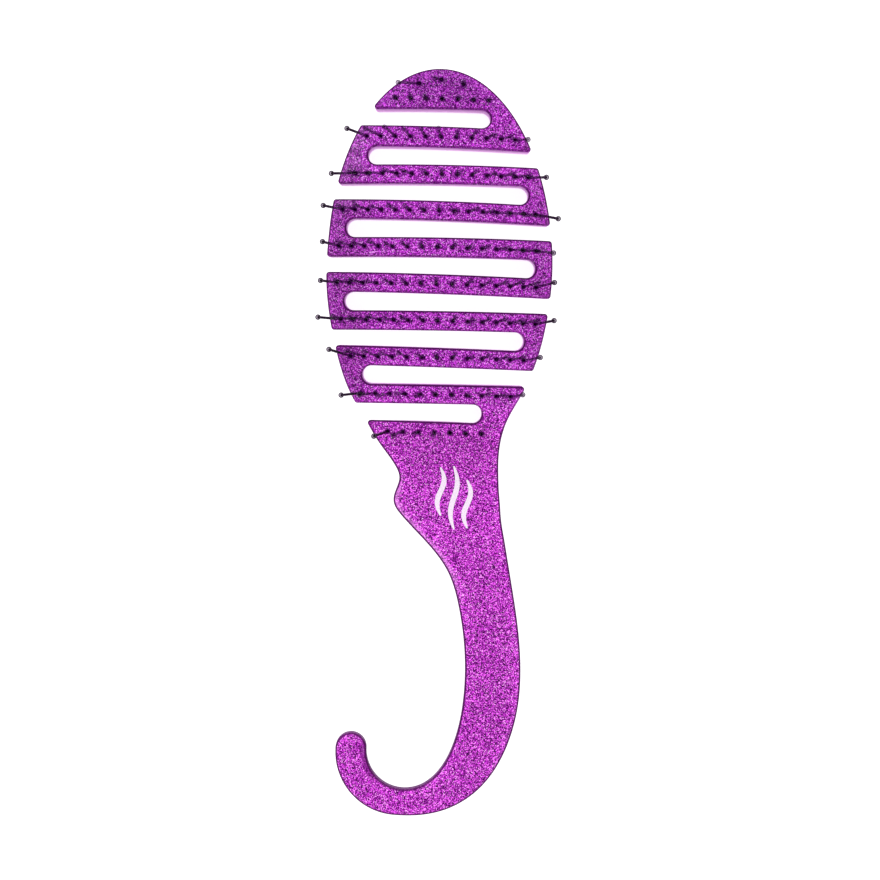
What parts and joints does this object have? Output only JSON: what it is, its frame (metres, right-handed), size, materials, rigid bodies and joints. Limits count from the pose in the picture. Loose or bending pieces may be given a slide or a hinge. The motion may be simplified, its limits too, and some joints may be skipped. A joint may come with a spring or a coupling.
{
  "type": "vented detangling hairbrush",
  "caption": "Flexible vented detangling brush with a serpentine slotted head, fanned ball-tipped pins and a curved grip that ends in a hanging hook.",
  "frame": {"origin": "middle of the flat back of the grip, where the brush rests", "axes": "+Y along the brush towards the tip of the head, +X across the head to the right seen from the pin side, +Z out of the pin side"},
  "size_m": [0.0803, 0.2483, 0.029],
  "materials": {
    "glitter_shell": "translucent purple plastic with fine glitter, glossy",
    "glitter_cover": "translucent purple plastic with fine glitter, glossy",
    "pin_nylon": "near-black nylon, satin",
    "bead_resin": "smoky grey resin beads, glossy",
    "white_ink": "thin white print, satin"
  },
  "bodies": {
    "root": {"front_shell": "glitter_shell", "back_cover": "glitter_cover", "pins_cap_upper": "pin_nylon", "beads_cap_upper": "bead_resin", "pins_cap_lower": "pin_nylon", "beads_cap_lower": "bead_resin", "pins_bar_1": "pin_nylon", "beads_bar_1": "bead_resin", "pins_bar_2": "pin_nylon", "beads_bar_2": "bead_resin", "pins_bar_3": "pin_nylon", "beads_bar_3": "bead_resin", "pins_bar_4": "pin_nylon", "beads_bar_4": "bead_resin", "pins_bar_5": "pin_nylon", "beads_bar_5": "bead_resin", "pins_bar_6": "pin_nylon", "beads_bar_6": "bead_resin", "pins_bar_7": "pin_nylon", "beads_bar_7": "bead_resin", "pins_bar_8": "pin_nylon", "beads_bar_8": "bead_resin", "pins_panel": "pin_nylon", "beads_panel": "bead_resin"}
  },
  "joints": []
}
